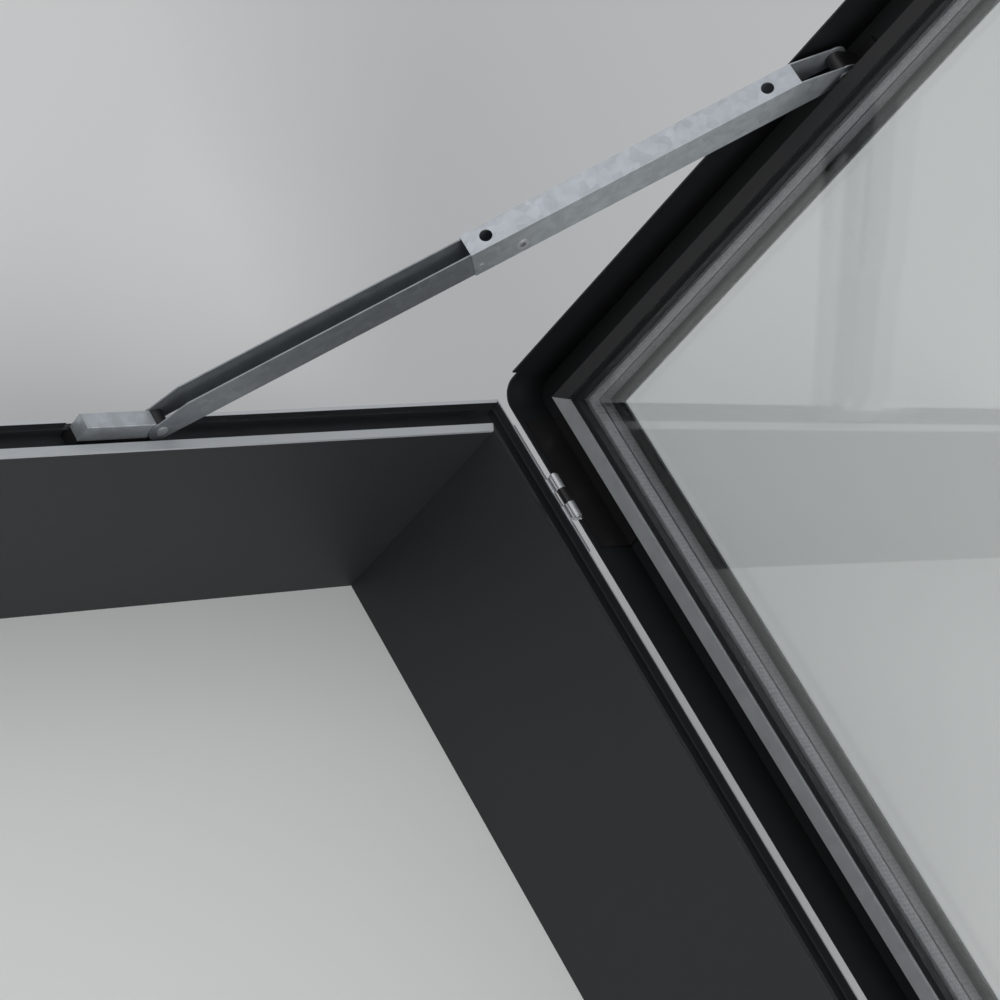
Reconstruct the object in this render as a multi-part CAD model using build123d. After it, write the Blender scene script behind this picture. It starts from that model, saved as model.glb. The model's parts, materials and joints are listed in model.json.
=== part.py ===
"""Side-hung roof skylight: grooved frame with lining, hinged triple-glazed sash and its stay.

Millimetres, +Z up. The origin is the middle of the plane the fixing brackets stand on. The hinges
run along Y on the +X side, the stay lies in the head groove, +Y. The sash is drawn shut, then opened.
Sections are given as (inward distance from the frame's outer face, height above the lip top).
"""
import os
from math import atan2, cos, degrees, hypot, radians, sin, sqrt

from build123d import *

# Overall sizes
FRAME_WIDTH = 1180.0
FRAME_LENGTH = 980.0
OPEN_ANGLE = 92.0

# Frame profile
LIP_THICKNESS = 3.5
GROOVE_INNER = 30.2
GROOVE_DEPTH = 16.0
RETURN_WIDTH = 1.8
RETURN_TOP = -6.5
RETURN_BOTTOM = -8.0
RIDGE_OUTER_RISE = 5.2
RIDGE_INNER_RISE = 12.2
RIDGE_END = 43.8
PROFILE_DEPTH = 110.0
LIP_HEIGHT = PROFILE_DEPTH
PROFILE_WALL = 2.5
NOTCH_LEFT = 84.0
NOTCH_RIGHT = 20.0
NOTCH_DEPTH = 6.0

# Lining
LINING_DEPTH = 240.0
LINER_TOP = 10.0
LINER_FOOT = 28.1
LINER_SHEET = 2.5

# Fixing brackets
BRACKET_SPACING = 600.0
BRACKET_REACH = 45.0
BRACKET_HOLE_OUTSET = 25.0
BRACKET_HOLE_RADIUS = 4.5
BRACKET_WIDTH = 50.0
BRACKET_SHEET = 3.0
BRACKET_TOP = -60.0

# Sash rail, in its shut position
RAIL_OUTER = -5.5
RECESS_INNER = 31.0
RECESS_FLOOR = 50.0
RAIL_TOP = 69.0
RAIL_FOOT = 17.0
RAIL_STEP = 20.7
RAIL_FOOT_INNER = 45.0
RAIL_INNER = 48.0
REBATE_FLOOR = 30.0
REBATE_SIDE = 37.0
RAIL_WALL = 2.2
SEAL_INNER = 44.5
SEAL_BOTTOM = 13.3

# Glazing
GLASS_EDGE = 38.0
PANE_THICKNESS = 4.0
CAVITY = 13.5
SPACER_OUTER = 43.1
SPACER_INNER = 50.1
GASKET_OUTER = 20.0
GASKET_INNER = 59.0
GASKET_THICKNESS = 1.0

# Cover of the sash
CAP_SHEET = 1.5
CAP_OUTSET = 7.5
CAP_HINGE_OUTSET = 7.5
CAP_OPENING = 61.0
CAP_CORNER_RADIUS = 20.0
CORNER_CLEARANCE = 0.3
SKIRT_BOTTOM = -3.0

# Hinges
HINGE_OUTSET = 6.0
HINGE_RISE = 4.0
HINGE_START = 30.0
HINGE_END = 172.0
BARREL_START = 92.0
BARREL_END = 137.0
KNUCKLE_COUNT = 3
KNUCKLE_RADIUS = 4.5
KNUCKLE_GAP = 0.3
SWING_CLEARANCE = 0.7
PIN_RADIUS = 2.5
PIN_HEAD_RADIUS = 3.8
PIN_HEAD = 1.5
RUNNING_FIT = 0.05
LEAF_SHEET = 2.0
FRAME_LEAF_DROP = 45.0
SASH_LEAF_REACH = 28.0
SCREW_HEAD_RADIUS = 4.0
SCREW_HEAD = 1.6

# Stay: two nested channels between the sash and a shoe in the head groove
LANE_MIDDLE = 13.6
SHOE_PIVOT_INSET = 412.0
SHOE_PIVOT_RISE = 8.0
SASH_PIVOT_INSET = 443.0
SASH_PIVOT_RISE = 25.0
UPPER_WIDTH = 21.2
CHANNEL_SHEET = 1.2
UPPER_WEB_SHEET = 1.5
UPPER_TOP = 23.5
CHANNEL_BOTTOM = -11.8
NEST_CLEARANCE = 0.2
LOWER_TOP = 21.5
EAR_RADIUS = 11.8
ELBOW_PLACE = 333.1
UPPER_TAIL = 45.0
LOWER_LAP = 30.0
UPPER_WEB_CUT = 40.0
LOWER_WEB_CUT = 28.0
WEB_HOLE_PLACES = (307.0, 569.0)
WEB_HOLE_RADIUS = 5.5
DIMPLE_PLACE = 295.0
DIMPLE_RADIUS = 2.5
RIVET_RADIUS = 4.0
RIVET_BORE = 2.8
RIVET_HEAD_RADIUS = 6.0
STAY_PIN_RADIUS = 3.0
STAY_HEAD_RADIUS = 5.0
STAY_HEAD = 1.0
HEAD_GAP = 0.3
TONGUE_WIDTH = 17.6
TONGUE_RADIUS = 8.0
STAY_PLATE_LENGTH = 56.0
STAY_PLATE_SHEET = 3.0

# Shoe
SHOE_CLEARANCE = 0.3
SHOE_WIDTH = 15.2
SHOE_TAIL = 81.0
SHOE_GAP = 9.0
SHOE_NOSE = 12.0
SHOE_TOP = 15.0
SHOE_CAP_BOTTOM = -2.0
SHOE_CAP_SHEET = 1.2

# Handle and keeper on the lock side
SPINDLE_INSET = 66.0
SPINDLE_RADIUS = 5.0
BASE_INNER = 80.0
BASE_LENGTH = 68.0
GLASS_CLEARANCE = 0.3
HUB_RADIUS = 12.0
HUB_BOTTOM = 8.0
LEVER_LENGTH = 100.0
LEVER_WIDTH = 16.0
LEVER_THICKNESS = 8.0
CAM_TOP = -1.0
CAM_THICKNESS = 5.0
CAM_LENGTH = 18.0
CAM_WIDTH = 12.0
CAM_HUB_RADIUS = 9.0
KEEPER_GAP = 0.6
KEEPER_SHEET = 2.5
KEEPER_REACH = 54.0
KEEPER_WIDTH = 30.0
KEEPER_BOTTOM = -30.0
KEEPER_SCREW_HEIGHT = -19.0

# Places worked out from the sizes above
HALF_WIDTH = FRAME_WIDTH / 2
HALF_LENGTH = FRAME_LENGTH / 2
HINGE_X = HALF_WIDTH + HINGE_OUTSET
HINGE_Z = LIP_HEIGHT + HINGE_RISE
HINGE_AXIS = Axis((HINGE_X, 0, HINGE_Z), (0, 1, 0))
LINER_SLOPE = (RIDGE_END - LINER_FOOT) / (LINER_TOP + LINING_DEPTH)
LINER_BACK = LINER_SHEET * sqrt(1 + LINER_SLOPE ** 2)
MIDDLE_PANE = REBATE_FLOOR + PANE_THICKNESS + CAVITY
OUTER_PANE = MIDDLE_PANE + PANE_THICKNESS + CAVITY
CAP_UNDERSIDE = RAIL_TOP + GASKET_THICKNESS
CAP_TOP = CAP_UNDERSIDE + CAP_SHEET
STAY_Y = HALF_LENGTH - LANE_MIDDLE
SHOE_X = HALF_WIDTH - SHOE_PIVOT_INSET
SHOE_Z = LIP_HEIGHT + SHOE_PIVOT_RISE
SHUT_TOP_X = HALF_WIDTH - SASH_PIVOT_INSET
SHUT_TOP_Z = LIP_HEIGHT + SASH_PIVOT_RISE
LOWER_HALF = UPPER_WIDTH / 2 - CHANNEL_SHEET - NEST_CLEARANCE
LOCK_X = -HALF_WIDTH

SIDES = {
    "head": ((0, HALF_LENGTH), (0, -1), FRAME_WIDTH),
    "sill": ((0, -HALF_LENGTH), (0, 1), FRAME_WIDTH),
    "hinge_side": ((HALF_WIDTH, 0), (-1, 0), FRAME_LENGTH),
    "lock_side": ((LOCK_X, 0), (1, 0), FRAME_LENGTH),
}


def turned(x, z):
    """Open place of a point given in its shut position."""
    dx = x - HINGE_X
    dz = z - HINGE_Z
    angle = radians(OPEN_ANGLE)
    return HINGE_X + dx * cos(angle) + dz * sin(angle), HINGE_Z - dx * sin(angle) + dz * cos(angle)


TOP_X, TOP_Z = turned(SHUT_TOP_X, SHUT_TOP_Z)
STAY_LENGTH = hypot(TOP_X - SHOE_X, TOP_Z - SHOE_Z)
STAY_ANGLE = degrees(atan2(TOP_Z - SHOE_Z, TOP_X - SHOE_X))
SHUT_RISE = SHUT_TOP_Z - SHOE_Z
SHUT_RUN = sqrt(STAY_LENGTH ** 2 - SHUT_RISE ** 2)
SHUT_STAY_ANGLE = degrees(atan2(SHUT_RISE, SHUT_RUN))
SHOE_TRAVEL = SHOE_X - (SHUT_TOP_X - SHUT_RUN)


def box(x0, x1, y0, y1, z0, z1):
    """Block between two corners."""
    centre = ((x0 + x1) / 2, (y0 + y1) / 2, (z0 + z1) / 2)
    return Pos(*centre) * Box(abs(x1 - x0), abs(y1 - y0), abs(z1 - z0))


def rod(start, end, radius):
    """Round bar from one point to another."""
    direction = Vector(*end) - Vector(*start)
    return extrude(Plane(origin=start, z_dir=direction) * Circle(radius), amount=direction.length)


def hex_head(start, direction):
    """Hexagonal screw head standing on a face."""
    plane = Plane(origin=start, z_dir=direction)
    return extrude(plane * RegularPolygon(SCREW_HEAD_RADIUS, 6), amount=SCREW_HEAD)


def face_of(points):
    """Flat face inside a closed outline."""
    return make_face(Polyline(*points, close=True))


def rectangle(start, end, low, high):
    """Corners of an upright rectangle in a section."""
    return [(start, low), (end, low), (end, high), (start, high)]


def group(shapes):
    """Several loose pieces as one node."""
    return Compound([solid for shape in shapes for solid in shape.solids()])


def bar(side, outer, *hollows):
    """Mitred length of one side, from its section."""
    (x, y), inward, run = SIDES[side]
    plane = Plane(origin=(x, y, LIP_HEIGHT), x_dir=(*inward, 0), z_dir=(inward[1], -inward[0], 0))
    section = face_of(outer)
    for hollow in hollows:
        section -= face_of(hollow)
    reach = max(abs(point[0]) for point in outer) + 1
    half = run / 2
    solid = extrude(plane * section, amount=half + reach, both=True)
    floor = Plane(origin=(x, y, 0), x_dir=(*inward, 0), z_dir=(0, 0, 1))
    mitre = [(-reach, -half - reach), (reach, reach - half), (reach, half - reach), (-reach, half + reach)]
    return solid & extrude(floor * face_of(mitre), amount=LINING_DEPTH + 100, both=True)


def ring(outer, *hollows):
    """Closed ring of four mitred lengths."""
    lengths = [bar(side, outer, *hollows) for side in SIDES]
    return lengths[0] + lengths[1:]


def opened(shape):
    """Turn a piece of the sash from shut to open."""
    return shape.rotate(HINGE_AXIS, OPEN_ANGLE)


def liner_face(height):
    """Inward distance of the lining's face at a height."""
    return RIDGE_END - LINER_SLOPE * (LINER_TOP - height)


def frame_member(side):
    """One mitred length of the frame, with its groove, ridge and hollow box."""
    lip_return = LIP_THICKNESS + RETURN_WIDTH
    ridge_return = GROOVE_INNER - RETURN_WIDTH
    outline = [
        (0, 0), (LIP_THICKNESS, 0), (LIP_THICKNESS, RETURN_TOP), (lip_return, RETURN_TOP),
        (lip_return, RETURN_BOTTOM), (LIP_THICKNESS, RETURN_BOTTOM), (LIP_THICKNESS, -GROOVE_DEPTH),
        (GROOVE_INNER, -GROOVE_DEPTH), (GROOVE_INNER, RETURN_BOTTOM), (ridge_return, RETURN_BOTTOM),
        (ridge_return, RETURN_TOP), (GROOVE_INNER, RETURN_TOP), (GROOVE_INNER, RIDGE_OUTER_RISE),
        (RIDGE_END, RIDGE_INNER_RISE), (RIDGE_END, LINER_TOP), (RIDGE_END - LINER_BACK, LINER_TOP),
        (liner_face(-PROFILE_DEPTH) - LINER_BACK, -PROFILE_DEPTH), (0, -PROFILE_DEPTH),
    ]
    top = -GROOVE_DEPTH - PROFILE_WALL
    bottom = PROFILE_WALL - PROFILE_DEPTH
    inset = LINER_BACK + PROFILE_WALL
    chamber = [
        (PROFILE_WALL, bottom), (liner_face(bottom) - inset, bottom), (liner_face(top) - inset, top),
        (PROFILE_WALL, top),
    ]
    member = bar(side, outline, chamber)
    if side == "head":
        member -= box(SHOE_X - NOTCH_LEFT, SHOE_X + NOTCH_RIGHT, HALF_LENGTH - LIP_THICKNESS,
                      HALF_LENGTH + 1, LIP_HEIGHT - NOTCH_DEPTH, LIP_HEIGHT + 1)
    return member


def lining(side):
    """Splayed lining panel of one side."""
    return bar(side, [
        (RIDGE_END, LINER_TOP), (LINER_FOOT, -LINING_DEPTH), (LINER_FOOT - LINER_BACK, -LINING_DEPTH),
        (RIDGE_END - LINER_BACK, LINER_TOP),
    ])


def bracket_places():
    """Side and place along Y of the four fixing brackets."""
    return [(sx, sy * BRACKET_SPACING / 2) for sx in (-1, 1) for sy in (-1, 1)]


def fixing_brackets():
    """Angle brackets on the outer faces, each with one fixing hole."""
    brackets = []
    low = LIP_HEIGHT - PROFILE_DEPTH
    half = BRACKET_WIDTH / 2
    for sx, y in bracket_places():
        face = sx * HALF_WIDTH
        leg = box(face, face + sx * BRACKET_SHEET, y - half, y + half, low, LIP_HEIGHT + BRACKET_TOP)
        foot = box(face, face + sx * BRACKET_REACH, y - half, y + half, low, low + BRACKET_SHEET)
        x = face + sx * BRACKET_HOLE_OUTSET
        brackets.append(leg + foot - rod((x, y, low - 1), (x, y, low + 5), BRACKET_HOLE_RADIUS))
    return group(brackets)


def bracket_screws():
    """Two screw heads on each bracket."""
    z = LIP_HEIGHT + BRACKET_TOP - 18
    heads = []
    for sx, y in bracket_places():
        x = sx * (HALF_WIDTH + BRACKET_SHEET)
        for offset in (-14, 14):
            heads.append(hex_head((x, y + offset, z), (sx, 0, 0)))
    return group(heads)


def sash_rail(side):
    """Hollow rail with the stay recess outside and the glazing rebate inside."""
    outline = [
        (RAIL_OUTER, RECESS_FLOOR), (RECESS_INNER, RECESS_FLOOR), (RECESS_INNER, RAIL_FOOT),
        (RAIL_FOOT_INNER, RAIL_FOOT), (RAIL_FOOT_INNER, RAIL_STEP), (RAIL_INNER, RAIL_STEP),
        (RAIL_INNER, REBATE_FLOOR), (REBATE_SIDE, REBATE_FLOOR), (REBATE_SIDE, RAIL_TOP), (RAIL_OUTER, RAIL_TOP),
    ]
    wall = RAIL_WALL
    upper = rectangle(RAIL_OUTER + wall, REBATE_SIDE - wall, RECESS_FLOOR + wall, RAIL_TOP - wall)
    lower = [
        (RECESS_INNER + wall, RAIL_FOOT + wall), (RAIL_FOOT_INNER - wall, RAIL_FOOT + wall),
        (RAIL_FOOT_INNER - wall, RAIL_STEP + wall), (RAIL_INNER - wall, RAIL_STEP + wall),
        (RAIL_INNER - wall, REBATE_FLOOR - wall), (REBATE_SIDE - wall, REBATE_FLOOR - wall),
        (REBATE_SIDE - wall, RECESS_FLOOR), (RECESS_INNER + wall, RECESS_FLOOR),
    ]
    return bar(side, outline, upper, lower)


def cover_block(margin, radius, low, high):
    """Block over the sash, set in from the cover's outer face."""
    x0 = LOCK_X - CAP_OUTSET + margin
    x1 = HALF_WIDTH + CAP_HINGE_OUTSET - margin
    outline = RectangleRounded(x1 - x0, FRAME_LENGTH + 2 * (CAP_OUTSET - margin), radius)
    return extrude(Pos((x0 + x1) / 2, 0, LIP_HEIGHT + low) * outline, amount=high - low)


def sash_length(side):
    """One rail, eased at its corners to fit inside the cover."""
    margin = CAP_SHEET + CORNER_CLEARANCE
    inside = cover_block(margin, CAP_CORNER_RADIUS - margin, SKIRT_BOTTOM, CAP_UNDERSIDE)
    return sash_rail(side) & inside


def sash_cap():
    """Pressed cover with a skirt, cut shorter along the hinge side and its corners."""
    shell = cover_block(0, CAP_CORNER_RADIUS, SKIRT_BOTTOM, CAP_TOP)
    shell -= cover_block(CAP_SHEET, CAP_CORNER_RADIUS - CAP_SHEET, SKIRT_BOTTOM - 1, CAP_UNDERSIDE)
    half_x = HALF_WIDTH - CAP_OPENING
    half_y = HALF_LENGTH - CAP_OPENING
    shell -= box(-half_x, half_x, -half_y, half_y, LIP_HEIGHT, LIP_HEIGHT + CAP_TOP + 1)
    x0 = HALF_WIDTH - CAP_CORNER_RADIUS
    x1 = HALF_WIDTH + CAP_HINGE_OUTSET + 1
    end = HALF_LENGTH + CAP_OUTSET + 1
    shell -= box(x0, x1, -end, end, LIP_HEIGHT + SKIRT_BOTTOM - 1, HINGE_Z)
    for sign in (-1, 1):
        near = sign * (HALF_LENGTH - BARREL_START + 3)
        far = sign * (HALF_LENGTH - BARREL_END - 3)
        shell -= box(x0, x1, far, near, HINGE_Z - 1, HINGE_Z + 6)
    return shell


def pane(bottom):
    """One sheet of glass."""
    half_x = HALF_WIDTH - GLASS_EDGE
    half_y = HALF_LENGTH - GLASS_EDGE
    return box(-half_x, half_x, -half_y, half_y, LIP_HEIGHT + bottom, LIP_HEIGHT + bottom + PANE_THICKNESS)


def spacer(pane_bottom):
    """Spacer bar above one pane."""
    low = pane_bottom + PANE_THICKNESS
    return ring(rectangle(SPACER_OUTER, SPACER_INNER, low, low + CAVITY))


def edge_sealant():
    """Dark sealant outside both spacers."""
    rings = []
    for bottom in (REBATE_FLOOR, MIDDLE_PANE):
        low = bottom + PANE_THICKNESS
        rings.append(ring(rectangle(GLASS_EDGE, SPACER_OUTER, low, low + CAVITY)))
    return group(rings)


def hinge_spans(sign, owner):
    """Y range of each knuckle; the frame's leaf owns the even ones."""
    pitch = (BARREL_END - BARREL_START) / KNUCKLE_COUNT
    for index in range(owner, KNUCKLE_COUNT, 2):
        near = HALF_LENGTH - BARREL_START - index * pitch - KNUCKLE_GAP / 2
        far = near - pitch + KNUCKLE_GAP
        yield min(sign * near, sign * far), max(sign * near, sign * far)


def hinge_range(sign):
    """Y range of a whole leaf."""
    ends = (sign * (HALF_LENGTH - HINGE_START), sign * (HALF_LENGTH - HINGE_END))
    return min(ends), max(ends)


def barrel(y0, y1, radius):
    """Cylinder on the hinge axis."""
    return rod((HINGE_X, y0, HINGE_Z), (HINGE_X, y1, HINGE_Z), radius)


def screw_rows(sign):
    """Y places of a leaf's screws."""
    y0, y1 = hinge_range(sign)
    return [y0 + 14, (y0 + y1) / 2, y1 - 14]


def hinge_frame_leaf(sign):
    """Leaf screwed to the frame's outer face."""
    y0, y1 = hinge_range(sign)
    low = LIP_HEIGHT - FRAME_LEAF_DROP
    leaf = box(HALF_WIDTH, HALF_WIDTH + LEAF_SHEET, y0, y1, low, LIP_HEIGHT)
    for start, end in hinge_spans(sign, 0):
        leaf += box(HALF_WIDTH, HINGE_X, start, end, LIP_HEIGHT - 1, HINGE_Z)
        leaf += barrel(start, end, KNUCKLE_RADIUS)
    return leaf - barrel(y0, y1, PIN_RADIUS + RUNNING_FIT)


def hinge_sash_leaf(sign):
    """Angled leaf against the skirt and the recess floor."""
    y0, y1 = hinge_range(sign)
    x0 = HINGE_X - LEAF_SHEET
    floor = LIP_HEIGHT + RECESS_FLOOR
    leaf = box(x0, HINGE_X, y0, y1, HINGE_Z + 3, floor)
    leaf += box(HINGE_X - SASH_LEAF_REACH, HINGE_X, y0, y1, floor - LEAF_SHEET, floor)
    leaf -= barrel(y0 - 1, y1 + 1, KNUCKLE_RADIUS + SWING_CLEARANCE)
    for start, end in hinge_spans(sign, 1):
        leaf += box(x0, HINGE_X, start, end, HINGE_Z, HINGE_Z + 12)
        leaf += barrel(start, end, KNUCKLE_RADIUS)
    return leaf - barrel(y0, y1, PIN_RADIUS + RUNNING_FIT)


def hinge_pin(sign):
    """Pin with a flat head at each end of the barrel."""
    ends = sorted((sign * (HALF_LENGTH - BARREL_START), sign * (HALF_LENGTH - BARREL_END)))
    pin = barrel(ends[0], ends[1], PIN_RADIUS)
    pin += barrel(ends[0] - PIN_HEAD, ends[0], PIN_HEAD_RADIUS)
    return pin + barrel(ends[1], ends[1] + PIN_HEAD, PIN_HEAD_RADIUS)


def hinge_frame_screws():
    """Screw heads of both frame leaves."""
    z = LIP_HEIGHT - FRAME_LEAF_DROP / 2
    face = HALF_WIDTH + LEAF_SHEET
    return group([hex_head((face, y, z), (1, 0, 0)) for sign in (-1, 1) for y in screw_rows(sign)])


def hinge_sash_screws():
    """Screw heads of both sash leaves."""
    x = HINGE_X - SASH_LEAF_REACH + 9
    low = LIP_HEIGHT + RECESS_FLOOR - LEAF_SHEET
    screws = []
    for sign in (-1, 1):
        for y in screw_rows(sign):
            screws.append(opened(rod((x, y, low - SCREW_HEAD), (x, y, low), SCREW_HEAD_RADIUS)))
    return group(screws)


def on_stay(shape):
    """Lay a piece drawn along X from the shoe pivot onto the raised stay."""
    return Pos(SHOE_X, STAY_Y, SHOE_Z) * (Rot(0, -STAY_ANGLE, 0) * shape)


def cross_rod(place, start, end, radius):
    """Round bar across the stay."""
    return rod((place, start, 0), (place, end, 0), radius)


def channel_walls(points, pivot, half):
    """Two walls of a channel with a round ear at its pivot."""
    profile = Plane.XZ * (face_of(points) + Pos(pivot, 0) * Circle(EAR_RADIUS))
    walls = extrude(profile, amount=half, both=True)
    inner = half - CHANNEL_SHEET
    return walls - box(-50, STAY_LENGTH + 50, -inner, inner, -50, 50)


def upper_channel():
    """Wide channel: its web on top ends short of the sash pivot."""
    half = UPPER_WIDTH / 2
    start = ELBOW_PLACE - UPPER_TAIL
    cut = STAY_LENGTH - UPPER_WEB_CUT
    part = channel_walls([
        (start, CHANNEL_BOTTOM), (STAY_LENGTH, CHANNEL_BOTTOM), (STAY_LENGTH, EAR_RADIUS),
        (cut, UPPER_TOP), (start, UPPER_TOP),
    ], STAY_LENGTH, half)
    part += box(start, cut, -half, half, UPPER_TOP - UPPER_WEB_SHEET, UPPER_TOP)
    for place in WEB_HOLE_PLACES:
        part -= rod((place, 0, 0), (place, 0, UPPER_TOP + 1), WEB_HOLE_RADIUS)
    part -= cross_rod(ELBOW_PLACE, -half - 1, half + 1, RIVET_RADIUS + RUNNING_FIT)
    part -= cross_rod(STAY_LENGTH, -half - 1, half + 1, STAY_PIN_RADIUS + RUNNING_FIT)
    return on_stay(part + cross_rod(DIMPLE_PLACE, -half - STAY_HEAD, -half, DIMPLE_RADIUS))


def lower_channel():
    """Narrow channel: its web below starts clear of the shoe."""
    half = LOWER_HALF
    end = ELBOW_PLACE + LOWER_LAP
    part = channel_walls([
        (0, CHANNEL_BOTTOM), (end, CHANNEL_BOTTOM), (end, LOWER_TOP), (LOWER_WEB_CUT, LOWER_TOP),
        (0, EAR_RADIUS),
    ], 0, half)
    part += box(LOWER_WEB_CUT, end, -half, half, CHANNEL_BOTTOM, CHANNEL_BOTTOM + CHANNEL_SHEET)
    part -= cross_rod(ELBOW_PLACE, -half - 1, half + 1, RIVET_RADIUS + RUNNING_FIT)
    part -= cross_rod(0, -half - 1, half + 1, STAY_PIN_RADIUS + RUNNING_FIT)
    return on_stay(part)


def elbow_rivet():
    """Hollow rivet through both channels."""
    half = UPPER_WIDTH / 2
    rivet = cross_rod(ELBOW_PLACE, -half, half, RIVET_RADIUS)
    for side in (-1, 1):
        rivet += cross_rod(ELBOW_PLACE, side * half, side * (half + STAY_HEAD), RIVET_HEAD_RADIUS)
    return on_stay(rivet - cross_rod(ELBOW_PLACE, -half - 2, half + 2, RIVET_BORE))


def foot_rivets():
    """Short rivets in the lower ears, which stop short of the shoe."""
    rivets = []
    for side in (-1, 1):
        shank = cross_rod(0, side * (LOWER_HALF - CHANNEL_SHEET), side * LOWER_HALF, STAY_PIN_RADIUS)
        head = cross_rod(0, side * LOWER_HALF, side * (LOWER_HALF + STAY_HEAD), STAY_HEAD_RADIUS)
        rivets.append(on_stay(shank + head))
    return group(rivets)


def stay_bracket():
    """Plate on the recess floor with a tongue between the upper ears."""
    floor = LIP_HEIGHT + RECESS_FLOOR
    half = TONGUE_WIDTH / 2
    reach = STAY_PLATE_LENGTH / 2
    x = SHUT_TOP_X
    z = SHUT_TOP_Z
    plate = box(x - reach, x + reach, STAY_Y - half - 1, STAY_Y + half + 1, floor - STAY_PLATE_SHEET, floor)
    tongue = box(x - TONGUE_RADIUS, x + TONGUE_RADIUS, STAY_Y - half, STAY_Y + half, z, floor - 1)
    tongue += rod((x, STAY_Y - half, z), (x, STAY_Y + half, z), TONGUE_RADIUS)
    bore = rod((x, STAY_Y - half - 1, z), (x, STAY_Y + half + 1, z), STAY_PIN_RADIUS + RUNNING_FIT)
    return opened(plate + tongue - bore)


def stay_head_pin():
    """Pin through the sash bracket and the upper ears."""
    half = UPPER_WIDTH / 2 + HEAD_GAP
    pin = cross_rod(STAY_LENGTH, -half, half, STAY_PIN_RADIUS)
    for side in (-1, 1):
        pin += cross_rod(STAY_LENGTH, side * half, side * (half + STAY_HEAD), STAY_HEAD_RADIUS)
    return on_stay(pin)


def shoe_core_box(margin, low, high):
    """Block of the shoe beside its pivot, set in by a margin."""
    half = SHOE_WIDTH / 2 - margin
    return box(SHOE_X - SHOE_TAIL + margin, SHOE_X - SHOE_GAP - margin, STAY_Y - half, STAY_Y + half,
               LIP_HEIGHT + low, LIP_HEIGHT + high)


def stay_shoe():
    """Shoe held under the groove's returns, with the tongue of the foot pivot."""
    base_top = RETURN_BOTTOM - SHOE_CLEARANCE
    half = SHOE_WIDTH / 2
    y0 = HALF_LENGTH - GROOVE_INNER + SHOE_CLEARANCE
    y1 = HALF_LENGTH - LIP_THICKNESS - SHOE_CLEARANCE
    low = LIP_HEIGHT + SHOE_CLEARANCE - GROOVE_DEPTH
    shoe = box(SHOE_X - SHOE_TAIL, SHOE_X + SHOE_NOSE, y0, y1, low, LIP_HEIGHT + base_top)
    shoe += shoe_core_box(0, base_top, SHOE_CAP_BOTTOM)
    shoe += shoe_core_box(SHOE_CAP_SHEET, SHOE_CAP_BOTTOM, SHOE_TOP - SHOE_CAP_SHEET)
    shoe += box(SHOE_X - SHOE_GAP, SHOE_X + TONGUE_RADIUS, STAY_Y - half, STAY_Y + half,
                LIP_HEIGHT + base_top, SHOE_Z)
    return shoe + rod((SHOE_X, STAY_Y - half, SHOE_Z), (SHOE_X, STAY_Y + half, SHOE_Z), TONGUE_RADIUS)


def shoe_cap():
    """Folded cover over the shoe's block."""
    cover = shoe_core_box(0, SHOE_CAP_BOTTOM, SHOE_TOP)
    cover = fillet(cover.edges().filter_by(Axis.X).group_by(Axis.Z)[-1], 1)
    return cover - shoe_core_box(SHOE_CAP_SHEET, SHOE_CAP_BOTTOM - 1, SHOE_TOP - SHOE_CAP_SHEET)


def spindle_rod(low, high, radius):
    """Cylinder on the handle's spindle axis."""
    x = LOCK_X + SPINDLE_INSET
    return rod((x, 0, LIP_HEIGHT + low), (x, 0, LIP_HEIGHT + high), radius)


def handle_base():
    """Block on the rail's inner face that carries the spindle."""
    half = BASE_LENGTH / 2
    top = REBATE_FLOOR - GLASS_CLEARANCE
    block = box(LOCK_X + RAIL_INNER, LOCK_X + BASE_INNER, -half, half, LIP_HEIGHT + RAIL_STEP, LIP_HEIGHT + top)
    block = fillet(block.edges().filter_by(Axis.Z).group_by(Axis.X)[-1], 8)
    return opened(block - spindle_rod(RAIL_STEP - 1, top - 2, SPINDLE_RADIUS + RUNNING_FIT))


def handle_lever():
    """Lever and spindle, pointing into the opening when unlatched."""
    x = LOCK_X + SPINDLE_INSET
    half = LEVER_WIDTH / 2
    lever = spindle_rod(HUB_BOTTOM, RAIL_STEP - HEAD_GAP, HUB_RADIUS)
    lever += spindle_rod(CAM_TOP, REBATE_FLOOR - GLASS_CLEARANCE - 2 - HEAD_GAP, SPINDLE_RADIUS)
    end = x + LEVER_LENGTH
    z0 = LIP_HEIGHT + HUB_BOTTOM
    lever += box(x, end, -half, half, z0, z0 + LEVER_THICKNESS)
    lever += rod((end, 0, z0), (end, 0, z0 + LEVER_THICKNESS), half)
    return opened(lever)


def handle_cam():
    """Cam at the foot of the spindle."""
    x = LOCK_X + SPINDLE_INSET
    half = CAM_WIDTH / 2
    low = CAM_TOP - CAM_THICKNESS
    cam = spindle_rod(low, CAM_TOP, CAM_HUB_RADIUS)
    cam += box(x - half, x + half, 0, CAM_LENGTH, LIP_HEIGHT + low, LIP_HEIGHT + CAM_TOP)
    return opened(cam)


def lock_keeper():
    """Keeper on the lining, its lip above the latched cam."""
    lip_low = CAM_TOP + KEEPER_GAP
    lip_top = lip_low + KEEPER_SHEET
    back = KEEPER_SHEET * sqrt(1 + LINER_SLOPE ** 2)
    outline = [
        (liner_face(KEEPER_BOTTOM), KEEPER_BOTTOM), (liner_face(KEEPER_BOTTOM) + back, KEEPER_BOTTOM),
        (liner_face(lip_low) + back, lip_low), (KEEPER_REACH, lip_low), (KEEPER_REACH, lip_top),
        (liner_face(lip_top), lip_top),
    ]
    plane = Plane(origin=(LOCK_X, 0, LIP_HEIGHT), x_dir=(1, 0, 0), z_dir=(0, -1, 0))
    return extrude(plane * face_of(outline), amount=KEEPER_WIDTH / 2, both=True)


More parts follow.
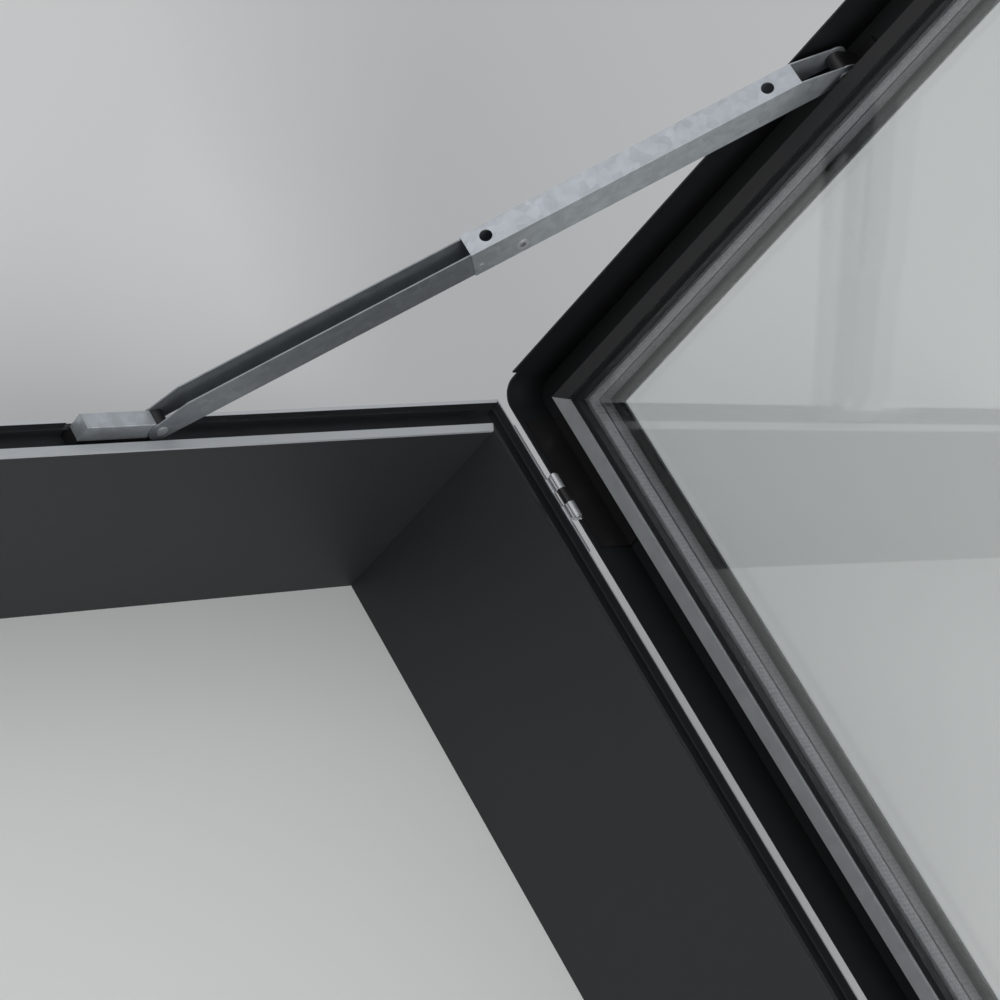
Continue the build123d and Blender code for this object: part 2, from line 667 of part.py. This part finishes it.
def keeper_screws():
    """Two screw heads of the keeper, square to the lining."""
    normal = Vector(1, 0, -LINER_SLOPE).normalized()
    heads = []
    for y in (-9, 9):
        foot = Vector(LOCK_X + liner_face(KEEPER_SCREW_HEIGHT), y, LIP_HEIGHT + KEEPER_SCREW_HEIGHT)
        face = foot + normal * KEEPER_SHEET
        heads.append(rod(face, face + normal * SCREW_HEAD, SCREW_HEAD_RADIUS))
    return group(heads)


def build():
    """All nodes of the skylight, by name."""
    nodes = {}
    for side in SIDES:
        nodes[f"frame_{side}"] = frame_member(side)
        nodes[f"lining_{side}"] = lining(side)
        nodes[f"sash_rail_{side}"] = opened(sash_length(side))
    nodes["fixing_brackets"] = fixing_brackets()
    nodes["bracket_screws"] = bracket_screws()
    nodes["sash_cap"] = opened(sash_cap())
    nodes["sash_seal"] = opened(ring(rectangle(RECESS_INNER, SEAL_INNER, SEAL_BOTTOM, RAIL_FOOT)))
    for name, bottom in (("inner", REBATE_FLOOR), ("middle", MIDDLE_PANE), ("outer", OUTER_PANE)):
        nodes[f"pane_{name}"] = opened(pane(bottom))
    nodes["spacer_inner"] = opened(spacer(REBATE_FLOOR))
    nodes["spacer_outer"] = opened(spacer(MIDDLE_PANE))
    nodes["edge_sealant"] = opened(edge_sealant())
    nodes["outer_gasket"] = opened(ring(rectangle(GASKET_OUTER, GASKET_INNER, RAIL_TOP, CAP_UNDERSIDE)))
    for name, sign in (("upper", 1), ("lower", -1)):
        nodes[f"hinge_frame_leaf_{name}"] = hinge_frame_leaf(sign)
        nodes[f"hinge_sash_leaf_{name}"] = opened(hinge_sash_leaf(sign))
        nodes[f"hinge_pin_{name}"] = hinge_pin(sign)
    nodes["hinge_frame_screws"] = hinge_frame_screws()
    nodes["hinge_sash_screws"] = hinge_sash_screws()
    nodes["upper_channel"] = upper_channel()
    nodes["lower_channel"] = lower_channel()
    nodes["elbow_rivet"] = elbow_rivet()
    nodes["foot_rivets"] = foot_rivets()
    nodes["stay_bracket"] = stay_bracket()
    nodes["stay_head_pin"] = stay_head_pin()
    nodes["stay_shoe"] = stay_shoe()
    nodes["shoe_cap"] = shoe_cap()
    nodes["handle_base"] = handle_base()
    nodes["handle_lever"] = handle_lever()
    nodes["handle_cam"] = handle_cam()
    nodes["lock_keeper"] = lock_keeper()
    nodes["keeper_screws"] = keeper_screws()
    return nodes


os.makedirs("parts", exist_ok=True)
for node, shape in build().items():
    export_step(shape, f"parts/{node}.step")
handle_x, handle_z = turned(LOCK_X + SPINDLE_INSET, LIP_HEIGHT)
print(f"hinge {HINGE_X:.3f} {HINGE_Z:.3f}; handle {handle_x:.3f} {handle_z:.3f}")
print(f"stay length {STAY_LENGTH:.3f}, open {STAY_ANGLE:.4f}, shut {SHUT_STAY_ANGLE:.4f}")
print(f"shoe at {SHOE_X:.3f} {SHOE_Z:.3f}, travel {SHOE_TRAVEL:.3f}; stay plane {STAY_Y:.3f}")
print(f"stay top pivot at {TOP_X:.3f} {TOP_Z:.3f}")
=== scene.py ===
"""Roof skylight standing open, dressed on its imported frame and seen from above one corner."""

import json
import logging
from dataclasses import dataclass, field
from enum import Enum
from math import ceil, radians

import bmesh
import bpy
from mathutils import Euler, Matrix, Vector


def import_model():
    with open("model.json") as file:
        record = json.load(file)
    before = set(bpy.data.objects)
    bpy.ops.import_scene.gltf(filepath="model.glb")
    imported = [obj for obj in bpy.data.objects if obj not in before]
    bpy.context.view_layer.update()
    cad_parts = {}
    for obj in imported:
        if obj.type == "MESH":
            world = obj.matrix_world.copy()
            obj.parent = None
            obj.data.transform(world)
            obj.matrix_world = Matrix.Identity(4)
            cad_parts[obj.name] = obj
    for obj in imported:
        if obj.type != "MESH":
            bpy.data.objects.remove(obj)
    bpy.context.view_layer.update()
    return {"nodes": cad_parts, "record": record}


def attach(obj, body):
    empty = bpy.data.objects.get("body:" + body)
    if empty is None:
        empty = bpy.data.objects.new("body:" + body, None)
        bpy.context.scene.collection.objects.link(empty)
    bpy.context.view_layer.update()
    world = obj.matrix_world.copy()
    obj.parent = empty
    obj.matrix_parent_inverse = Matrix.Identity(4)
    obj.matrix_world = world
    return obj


LOG = logging.getLogger("skylight")
MM = 0.001


class Body(Enum):
    """Rigid bodies that the dressed pieces move with."""

    FRAME = "frame"
    SASH = "sash"
    ARM = "arm"
    SHOE = "shoe"
    HANDLE = "handle"


class Zone(Enum):
    """Where a piece shows a second colour: bare metal and painted highlight on the frame, painted shade on
    the seal's end runs, a pale inner strip on the cover.
    """

    NONE = 0
    # Bare metal on the frame's lip top and ridge, painted bright on the end runs only as painted highlight.
    FRAME_METAL_AND_HIGHLIGHT = 1
    COVER_EDGES = 2
    # The seal's end runs, darkened nearly black as painted shade.
    PAINTED_SHADE_END_RUNS = 3


@dataclass(frozen=True)
class Layout:
    """Sizes of the skylight that the dressing is placed by, in metres."""

    half_width: float = 590 * MM
    half_length: float = 490 * MM
    lip_height: float = 110 * MM
    hinge_outset: float = 6 * MM
    hinge_rise: float = 4 * MM
    open_angle: float = radians(92)
    spacer_inset: float = 50.1 * MM
    spacer_heights: tuple[float, float] = (40.75 * MM, 58.25 * MM)
    lining_foot: float = -130 * MM
    lip_bright_depth: float = 0.3 * MM
    lip_bright_width: float = 1.6 * MM
    ridge_bright_depth: float = 12.4 * MM
    ridge_inset: float = 30.4 * MM
    cover_bright_inset: float = 58.8 * MM

    def hinge(self) -> Vector:
        """Return a point on the hinge axis."""
        return Vector((self.half_width + self.hinge_outset, 0, self.lip_height + self.hinge_rise))

    def opening(self) -> Matrix:
        """Return the matrix that turns the sash from shut to open."""
        hinge = Matrix.Translation(self.hinge())
        return hinge @ Matrix.Rotation(self.open_angle, 4, "Y") @ hinge.inverted()


@dataclass(frozen=True)
class Finish:
    """One surface finish and the noise that breaks it up."""

    name: str
    colour: tuple[float, float, float]
    roughness: float
    metallic: float = 0.0
    variation: float = 0.06
    scale: float = 60.0
    bump: float = 0.02
    # A zone's second colour is bare metal with painted highlight on the frame, painted shade on the seal and
    # a pale inner strip on the cover.
    zone: Zone = Zone.NONE
    zone_colour: tuple[float, float, float] = (0.60, 0.62, 0.64)
    zone_metallic: float = 0.5
    cells: float = 0.0


FINISHES: dict[str, Finish] = {
    # The lip top and sloping ridge are bare metal. They are bright across the end runs and dark on the side
    # runs except for a thin outer line, following how the light falls. This is painted highlight.
    "frame_paint": Finish("frame_paint", (0.019, 0.0215, 0.023), 0.5, zone=Zone.FRAME_METAL_AND_HIGHLIGHT),
    "lining_paint": Finish("lining_paint", (0.019, 0.0215, 0.023), 0.6, scale=40),
    "galvanised": Finish("galvanised", (0.50, 0.53, 0.56), 0.42, metallic=0.7, variation=0.08, scale=90,
                         bump=0.03, cells=140),
    "lower_galvanised": Finish("lower_galvanised", (0.30, 0.32, 0.34), 0.42, metallic=0.7, variation=0.08,
                               scale=90, bump=0.03, cells=120),
    "zinc_fastener": Finish("zinc_fastener", (0.62, 0.63, 0.65), 0.34, metallic=0.75, variation=0.04,
                            scale=120),
    "hinge_steel": Finish("hinge_steel", (0.020, 0.019, 0.020), 0.34, metallic=0.3, scale=80),
    "sash_paint": Finish("sash_paint", (0.010, 0.011, 0.012), 0.5, scale=80),
    "cover_metal": Finish("cover_metal", (0.010, 0.011, 0.012), 0.5, zone=Zone.COVER_EDGES,
                          zone_colour=(0.75, 0.77, 0.79)),
    # The seal's head and sill runs take a near-black second colour. This is painted shade over the seal's
    # light grey.
    "light_seal": Finish("light_seal", (0.24, 0.25, 0.255), 0.6, variation=0.1, zone=Zone.PAINTED_SHADE_END_RUNS,
                         zone_colour=(0.010, 0.010, 0.011), zone_metallic=0.0),
    "spacer_metal": Finish("spacer_metal", (0.66, 0.67, 0.69), 0.45, metallic=0.3, variation=0.16,
                           scale=260, bump=0.05, cells=900),
    "black_rubber": Finish("black_rubber", (0.008, 0.008, 0.008), 0.7),
    "shoe_plastic": Finish("shoe_plastic", (0.012, 0.012, 0.013), 0.5),
    "handle_metal": Finish("handle_metal", (0.30, 0.31, 0.32), 0.32, metallic=0.7),
    # White dots on the spacer perforations are painted glints. The real holes are dark.
    "painted_glint_dot": Finish("painted_glint_dot", (0.95, 0.95, 0.95), 0.6),
}


@dataclass
class Paintbox:
    """Builds each material once and hands it out by name."""

    layout: Layout
    made: dict[str, bpy.types.Material] = field(default_factory=dict)
    mottle: bpy.types.NodeTree | None = None
    noise_detail: float = 4.0
    colour_gain: float = 4.0
    crystal_swing: float = 0.16
    crystal_floor: float = 0.92
    relief_depth: float = 0.2 * MM
    glass_tint: tuple[float, float, float] = (0.985, 0.995, 0.99)
    glass_roughness: float = 0.01
    glass_index: float = 1.52

    def mottle_group(self) -> bpy.types.NodeTree:
        """Build the shared group of uneven colour, gloss and height.

        Returns:
            The node group, with named inputs and outputs.
        """
        if self.mottle is not None:
            return self.mottle
        tree = bpy.data.node_groups.new("Uneven surface", "ShaderNodeTree")
        tree.interface.new_socket("Colour", in_out="INPUT", socket_type="NodeSocketColor")
        for name in ("Roughness", "Scale", "Variation"):
            tree.interface.new_socket(name, in_out="INPUT", socket_type="NodeSocketFloat")
        tree.interface.new_socket("Colour", in_out="OUTPUT", socket_type="NodeSocketColor")
        tree.interface.new_socket("Roughness", in_out="OUTPUT", socket_type="NodeSocketFloat")
        tree.interface.new_socket("Height", in_out="OUTPUT", socket_type="NodeSocketFloat")
        entry = tree.nodes.new("NodeGroupInput")
        leave = tree.nodes.new("NodeGroupOutput")
        place = tree.nodes.new("ShaderNodeTexCoord")
        noise = tree.nodes.new("ShaderNodeTexNoise")
        noise.inputs["Detail"].default_value = self.noise_detail
        tree.links.new(place.outputs["Object"], noise.inputs["Vector"])
        tree.links.new(entry.outputs["Scale"], noise.inputs["Scale"])
        centred = self.calculate(tree, "SUBTRACT", noise.outputs["Fac"], 0.5)
        swing = self.calculate(tree, "MULTIPLY", centred, entry.outputs["Variation"])
        gain = self.calculate(tree, "MULTIPLY_ADD", swing, self.colour_gain, 1.0)
        tint = tree.nodes.new("ShaderNodeVectorMath")
        tint.operation = "SCALE"
        tree.links.new(entry.outputs["Colour"], tint.inputs[0])
        tree.links.new(gain, tint.inputs["Scale"])
        rough = self.calculate(tree, "ADD", swing, entry.outputs["Roughness"])
        tree.links.new(tint.outputs[0], leave.inputs["Colour"])
        tree.links.new(rough, leave.inputs["Roughness"])
        tree.links.new(noise.outputs["Fac"], leave.inputs["Height"])
        self.mottle = tree
        return tree

    @staticmethod
    def calculate(
        tree: bpy.types.NodeTree, operation: str, *values: bpy.types.NodeSocket | float
    ) -> bpy.types.NodeSocket:
        """Add one Math node.

        Args:
            tree: The tree that gets the node.
            operation: Name of the sum.
            values: A socket to link or a number for each input.

        Returns:
            The node's output.
        """
        node = tree.nodes.new("ShaderNodeMath")
        node.operation = operation
        for index, value in enumerate(values):
            if isinstance(value, bpy.types.NodeSocket):
                tree.links.new(value, node.inputs[index])
            else:
                node.inputs[index].default_value = value
        return node.outputs[0]

    def zone_mask(self, tree: bpy.types.NodeTree, zone: Zone) -> bpy.types.NodeSocket:
        """Mask the places of a piece that show its second colour.

        Args:
            tree: The material's tree.
            zone: Which places these are.

        Returns:
            A value of 1 on the second colour and 0 elsewhere.
        """
        layout = self.layout
        place = tree.nodes.new("ShaderNodeTexCoord").outputs["Object"]
        if zone is not Zone.FRAME_METAL_AND_HIGHLIGHT:
            turn = tree.nodes.new("ShaderNodeMapping")
            shut = layout.opening().inverted()
            turn.inputs["Location"].default_value = shut.to_translation()
            turn.inputs["Rotation"].default_value = shut.to_euler()
            tree.links.new(place, turn.inputs["Vector"])
            place = turn.outputs["Vector"]
        parts = tree.nodes.new("ShaderNodeSeparateXYZ")
        tree.links.new(place, parts.inputs[0])
        across = self.calculate(tree, "ABSOLUTE", parts.outputs["X"])
        along = self.calculate(tree, "ABSOLUTE", parts.outputs["Y"])
        from_side = self.calculate(tree, "SUBTRACT", layout.half_width, across)
        from_end = self.calculate(tree, "SUBTRACT", layout.half_length, along)
        inset = self.calculate(tree, "MINIMUM", from_side, from_end)
        if zone is Zone.COVER_EDGES:
            return self.calculate(tree, "GREATER_THAN", inset, layout.cover_bright_inset)
        end_run = self.calculate(tree, "LESS_THAN", from_end, from_side)
        # On the seal, the end runs get the near-black painted shade.
        if zone is Zone.PAINTED_SHADE_END_RUNS:
            return end_run
        # Frame: lip top and ridge bright across the end runs, only a thin outer line on the side runs. This
        # difference between end and side runs is painted highlight over bare metal.
        height = parts.outputs["Z"]
        lip_floor = layout.lip_height - layout.lip_bright_depth
        on_top = self.calculate(tree, "GREATER_THAN", height, lip_floor)
        outermost = self.calculate(tree, "LESS_THAN", inset, layout.lip_bright_width)
        lip_run = self.calculate(tree, "MAXIMUM", end_run, outermost)
        lip = self.calculate(tree, "MULTIPLY", on_top, lip_run)
        ridge_floor = layout.lip_height - layout.ridge_bright_depth
        high = self.calculate(tree, "GREATER_THAN", height, ridge_floor)
        inner = self.calculate(tree, "GREATER_THAN", inset, layout.ridge_inset)
        sloping = self.calculate(tree, "MULTIPLY", high, inner)
        ridge = self.calculate(tree, "MULTIPLY", sloping, end_run)
        return self.calculate(tree, "MAXIMUM", lip, ridge)

    def glass(self) -> bpy.types.Material:
        """Build the clear glass."""
        material, shader = self.blank("clear_glass")
        shader.inputs["Base Color"].default_value = (*self.glass_tint, 1)
        shader.inputs["Roughness"].default_value = self.glass_roughness
        shader.inputs["Transmission Weight"].default_value = 1.0
        shader.inputs["IOR"].default_value = self.glass_index
        return material

    @staticmethod
    def blank(name: str) -> tuple[bpy.types.Material, bpy.types.Node]:
        """Start a material and return it with its shader."""
        material = bpy.data.materials.new(name)
        material.use_nodes = True
        return material, material.node_tree.nodes["Principled BSDF"]

    def get(self, name: str) -> bpy.types.Material:
        """Return a finish's material, made on first use.

        Args:
            name: Name of the finish.

        Returns:
            The material.
        """
        if name in self.made:
            return self.made[name]
        if name == "clear_glass":
            self.made[name] = self.glass()
            return self.made[name]
        finish = FINISHES[name]
        material, shader = self.blank(name)
        tree = material.node_tree
        uneven = tree.nodes.new("ShaderNodeGroup")
        uneven.node_tree = self.mottle_group()
        uneven.inputs["Colour"].default_value = (*finish.colour, 1)
        uneven.inputs["Roughness"].default_value = finish.roughness
        uneven.inputs["Scale"].default_value = finish.scale
        uneven.inputs["Variation"].default_value = finish.variation
        colour = uneven.outputs["Colour"]
        shader.inputs["Metallic"].default_value = finish.metallic
        if finish.cells:
            colour = self.spangled(tree, colour, finish.cells)
        # Mix in the zone's second colour, which is painted highlight on the frame and painted shade on the
        # seal.
        if finish.zone is not Zone.NONE:
            mask = self.zone_mask(tree, finish.zone)
            mix = tree.nodes.new("ShaderNodeMix")
            mix.data_type = "RGBA"
            mix.inputs["B"].default_value = (*finish.zone_colour, 1)
            tree.links.new(mask, mix.inputs["Factor"])
            tree.links.new(colour, mix.inputs["A"])
            colour = mix.outputs["Result"]
            metal = self.calculate(tree, "MULTIPLY", mask, finish.zone_metallic)
            tree.links.new(metal, shader.inputs["Metallic"])
        tree.links.new(colour, shader.inputs["Base Color"])
        tree.links.new(uneven.outputs["Roughness"], shader.inputs["Roughness"])
        relief = tree.nodes.new("ShaderNodeBump")
        relief.inputs["Strength"].default_value = finish.bump
        relief.inputs["Distance"].default_value = self.relief_depth
        tree.links.new(uneven.outputs["Height"], relief.inputs["Height"])
        tree.links.new(relief.outputs["Normal"], shader.inputs["Normal"])
        self.made[name] = material
        return material

    def spangled(
        self, tree: bpy.types.NodeTree, colour: bpy.types.NodeSocket, scale: float
    ) -> bpy.types.NodeSocket:
        """Break a zinc colour into crystal cells.

        Args:
            tree: The material's tree.
            colour: The even zinc colour.
            scale: Cells per metre.

        Returns:
            The broken colour.
        """
        place = tree.nodes.new("ShaderNodeTexCoord")
        crystals = tree.nodes.new("ShaderNodeTexVoronoi")
        crystals.inputs["Scale"].default_value = scale
        grey = tree.nodes.new("ShaderNodeSeparateColor")
        gain = tree.nodes.new("ShaderNodeVectorMath")
        gain.operation = "SCALE"
        tree.links.new(place.outputs["Object"], crystals.inputs["Vector"])
        tree.links.new(crystals.outputs["Color"], grey.inputs[0])
        tree.links.new(colour, gain.inputs[0])
        level = self.calculate(
            tree, "MULTIPLY_ADD", grey.outputs[0], self.crystal_swing, self.crystal_floor
        )
        tree.links.new(level, gain.inputs["Scale"])
        return gain.outputs[0]


@dataclass
class Row:
    """A straight row of repeated flat discs, such as perforations."""

    start: Vector
    end: Vector
    normal: Vector
    spacing: float
    radius: float


@dataclass
class DiscRows:
    """Makes rows of discs with one shared node tree."""

    paint: Paintbox
    corners: int = 6
    tree: bpy.types.NodeTree | None = None

    def build_tree(self) -> bpy.types.NodeTree:
        """Build the tree that lays discs along a line.

        Returns:
            The tree, with named inputs for its sizes.
        """
        if self.tree is not None:
            return self.tree
        tree = bpy.data.node_groups.new("Disc row", "GeometryNodeTree")
        vector, number = "NodeSocketVector", "NodeSocketFloat"
        kinds = {"Start": vector, "End": vector, "Normal": vector, "Count": "NodeSocketInt", "Radius": number}
        tree.interface.new_socket("Geometry", in_out="INPUT", socket_type="NodeSocketGeometry")
        for name, kind in kinds.items():
            tree.interface.new_socket(name, in_out="INPUT", socket_type=kind)
        tree.interface.new_socket("Material", in_out="INPUT", socket_type="NodeSocketMaterial")
        tree.interface.new_socket("Geometry", in_out="OUTPUT", socket_type="NodeSocketGeometry")
        entry = tree.nodes.new("NodeGroupInput")
        leave = tree.nodes.new("NodeGroupOutput")
        line = tree.nodes.new("GeometryNodeMeshLine")
        line.mode = "END_POINTS"
        disc = tree.nodes.new("GeometryNodeMeshCircle")
        disc.fill_type = "NGON"
        disc.inputs["Vertices"].default_value = self.corners
        face = tree.nodes.new("FunctionNodeAlignEulerToVector")
        face.axis = "Z"
        copies = tree.nodes.new("GeometryNodeInstanceOnPoints")
        real = tree.nodes.new("GeometryNodeRealizeInstances")
        dress = tree.nodes.new("GeometryNodeSetMaterial")
        tree.links.new(entry.outputs["Start"], line.inputs["Start Location"])
        tree.links.new(entry.outputs["End"], line.inputs["Offset"])
        tree.links.new(entry.outputs["Count"], line.inputs["Count"])
        tree.links.new(entry.outputs["Radius"], disc.inputs["Radius"])
        tree.links.new(entry.outputs["Normal"], face.inputs["Vector"])
        tree.links.new(line.outputs["Mesh"], copies.inputs["Points"])
        tree.links.new(disc.outputs["Mesh"], copies.inputs["Instance"])
        tree.links.new(face.outputs["Rotation"], copies.inputs["Rotation"])
        tree.links.new(copies.outputs["Instances"], real.inputs["Geometry"])
        tree.links.new(real.outputs["Geometry"], dress.inputs["Geometry"])
        tree.links.new(entry.outputs["Material"], dress.inputs["Material"])
        tree.links.new(dress.outputs["Geometry"], leave.inputs["Geometry"])
        self.tree = tree
        return tree

    def row_mesh(self, row: Row, finish: str) -> bpy.types.Mesh:
        """Evaluate one row to a plain mesh.

        Args:
            row: The row to make.
            finish: Name of its finish.

        Returns:
            The mesh.
        """
        tree = self.build_tree()
        holder = bpy.data.objects.new("row", bpy.data.meshes.new("row"))
        bpy.context.scene.collection.objects.link(holder)
        modifier = holder.modifiers.new("Row", "NODES")
        modifier.node_group = tree
        count = ceil((row.end - row.start).length / row.spacing)
        values = {
            "Start": row.start, "End": row.end, "Normal": row.normal, "Count": count,
            "Radius": row.radius, "Material": self.paint.get(finish),
        }
        for item in tree.interface.items_tree:
            if item.in_out == "INPUT" and item.name in values:
                modifier[item.identifier] = values[item.name]
        evaluated = holder.evaluated_get(bpy.context.evaluated_depsgraph_get())
        mesh = bpy.data.meshes.new_from_object(evaluated)
        bpy.data.objects.remove(holder)
        return mesh

    def make(self, name: str, rows: list[Row], finish: str, slot: str, body: Body) -> bpy.types.Object:
        """Join several rows into one piece.

        Args:
            name: Name of the piece.
            rows: Its rows.
            finish: Name of its finish.
            slot: Name of a material slot; not used.
            body: The body that it moves with.

        Returns:
            The finished piece.
        """
        joined = bmesh.new()
        for row in rows:
            joined.from_mesh(self.row_mesh(row, finish))
        mesh = bpy.data.meshes.new(name)
        joined.to_mesh(mesh)
        joined.free()
        mesh.materials.clear()
        mesh.materials.append(self.paint.get(finish))
        piece = bpy.data.objects.new(name, mesh)
        bpy.context.scene.collection.objects.link(piece)
        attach(piece, body.value)
        LOG.info("%s: %d faces", name, len(mesh.polygons))
        return piece


@dataclass
class Glazing:
    """The perforated faces of the spacer bars, with the perforations drawn as white dots that are painted
    glints.
    """

    layout: Layout
    discs: DiscRows
    dot: float = 0.7 * MM
    lift: float = 0.05 * MM
    end_pitch: float = 8.6 * MM
    side_pitch: float = 4.3 * MM
    side_offsets: tuple[float, ...] = (-3.6 * MM, 0.0, 3.6 * MM)

    def row(self, start: tuple[float, float], end: tuple[float, float],
            normal: tuple[float, float], height: float, pitch: float) -> Row:
        """Return one row, given on the shut sash and turned with it.

        Args:
            start: Plan position of the first dot.
            end: Plan position of the last dot.
            normal: Plan direction that the dots face.
            height: Height above the frame's lip.
            pitch: Distance between dots.

        Returns:
            The row on the open sash.
        """
        turn = self.layout.opening()
        z = self.layout.lip_height + height
        facing = turn.to_3x3() @ Vector((*normal, 0))
        return Row(turn @ Vector((*start, z)), turn @ Vector((*end, z)), facing, pitch, self.dot)

    def build(self) -> None:
        """Lay the dots on the faces that look into the cavities. Their white is a painted glint on what are
        dark holes.
        """
        x = self.layout.half_width - self.layout.spacer_inset - self.lift
        y = self.layout.half_length - self.layout.spacer_inset - self.lift
        rows = []
        for height in self.layout.spacer_heights:
            for sign in (-1, 1):
                left, right = (-x, sign * y), (x, sign * y)
                rows.append(self.row(left, right, (0, -sign), height, self.end_pitch))
                low, high = (sign * x, -y), (sign * x, y)
                for offset in self.side_offsets:
                    rows.append(self.row(low, high, (-sign, 0), height + offset, self.side_pitch))
        self.discs.make("spacer_perforation_glints", rows, "painted_glint_dot", "spacer_metal", Body.SASH)


@dataclass
class Skylight:
    """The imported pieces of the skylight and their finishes."""

    paint: Paintbox
    nodes: dict[str, bpy.types.Object]
    slots: dict[str, str]

    def dress(self) -> None:
        """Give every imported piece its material."""
        for name, piece in self.nodes.items():
            piece.data.materials.clear()
            piece.data.materials.append(self.paint.get(self.slots[name]))
            LOG.info("%s: %s", name, self.slots[name])


@dataclass
class Studio:
    """Floor, light and camera."""

    layout: Layout
    camera_place: tuple[float, float, float] = (-1.6046, -0.8071, 1.8215)
    camera_turn: tuple[float, float, float] = (45.273, -30.526, -30.931)
    lens: float = 122.593
    film_width: float = 36.0
    shift: float = 0.2
    view_reach: float = 100.0
    floor_colour: tuple[float, float, float] = (0.80, 0.80, 0.79)
    floor_roughness: float = 0.9
    floor_half_size: float = 30.0
    floor_gap: float = 0.1 * MM
    lamp_aim: tuple[float, float, float] = (0.3, 0.3, 0.3)
    key_place: tuple[float, float, float] = (-0.9, -2.9, 3.0)
    key_size: float = 2.0
    key_power: float = 78
    fill_place: tuple[float, float, float] = (-2.8, 1.2, 3.4)
    fill_size: float = 2.4
    fill_power: float = 28
    room_colour: tuple[float, float, float] = (0.95, 0.97, 1.0)
    room_strength: float = 0.5

    def floor(self) -> None:
        """Lay the pale floor under the lining."""
        size = self.floor_half_size
        mesh = bpy.data.meshes.new("floor")
        z = self.layout.lining_foot - self.floor_gap
        corners = [(-size, -size, z), (size, -size, z), (size, size, z), (-size, size, z)]
        mesh.from_pydata(corners, [], [(0, 1, 2, 3)])
        floor = bpy.data.objects.new("floor", mesh)
        bpy.context.scene.collection.objects.link(floor)
        material, shader = Paintbox.blank("floor")
        shader.inputs["Base Color"].default_value = (*self.floor_colour, 1)
        shader.inputs["Roughness"].default_value = self.floor_roughness
        mesh.materials.append(material)

    def lamp(self, name: str, place: tuple[float, float, float], size: float, power: float) -> None:
        """Hang one soft square lamp that looks at the skylight.

        Args:
            name: Name of the lamp.
            place: Where it hangs.
            size: Its width.
            power: Its power in watts.
        """
        data = bpy.data.lights.new(name, "AREA")
        data.size = size
        data.energy = power
        lamp = bpy.data.objects.new(name, data)
        lamp.location = place
        aim = Vector(self.lamp_aim) - Vector(place)
        lamp.rotation_euler = aim.to_track_quat("-Z", "Y").to_euler()
        bpy.context.scene.collection.objects.link(lamp)

    def light(self) -> None:
        """Light the studio evenly, with a soft key beyond the sill and a fill beyond the lock side."""
        world = bpy.data.worlds.new("room")
        world.use_nodes = True
        background = world.node_tree.nodes["Background"]
        background.inputs["Color"].default_value = (*self.room_colour, 1)
        background.inputs["Strength"].default_value = self.room_strength
        bpy.context.scene.world = world
        self.lamp("key", self.key_place, self.key_size, self.key_power)
        self.lamp("fill", self.fill_place, self.fill_size, self.fill_power)

    def camera(self) -> None:
        """Set the camera to the photographed corner."""
        data = bpy.data.cameras.new("camera")
        data.lens = self.lens
        data.sensor_width = self.film_width
        data.shift_x = self.shift
        data.clip_end = self.view_reach
        camera = bpy.data.objects.new("camera", data)
        camera.location = self.camera_place
        camera.rotation_euler = Euler([radians(angle) for angle in self.camera_turn], "XYZ")
        bpy.context.scene.collection.objects.link(camera)
        bpy.context.scene.camera = camera

    def build(self) -> None:
        """Set up the whole studio."""
        self.floor()
        self.light()
        self.camera()
        bpy.context.scene.view_settings.view_transform = "Standard"


def main() -> None:
    """Load the frame, dress it and report each piece."""
    logging.basicConfig(level=logging.INFO, format="%(name)s %(message)s")
    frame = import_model()
    layout = Layout()
    paint = Paintbox(layout)
    slots = {part["node"]: part["material_slot"] for part in frame["record"]["subparts"]}
    Skylight(paint, frame["nodes"], slots).dress()
    Glazing(layout, DiscRows(paint)).build()
    Studio(layout).build()


if __name__ == "__main__":
    main()
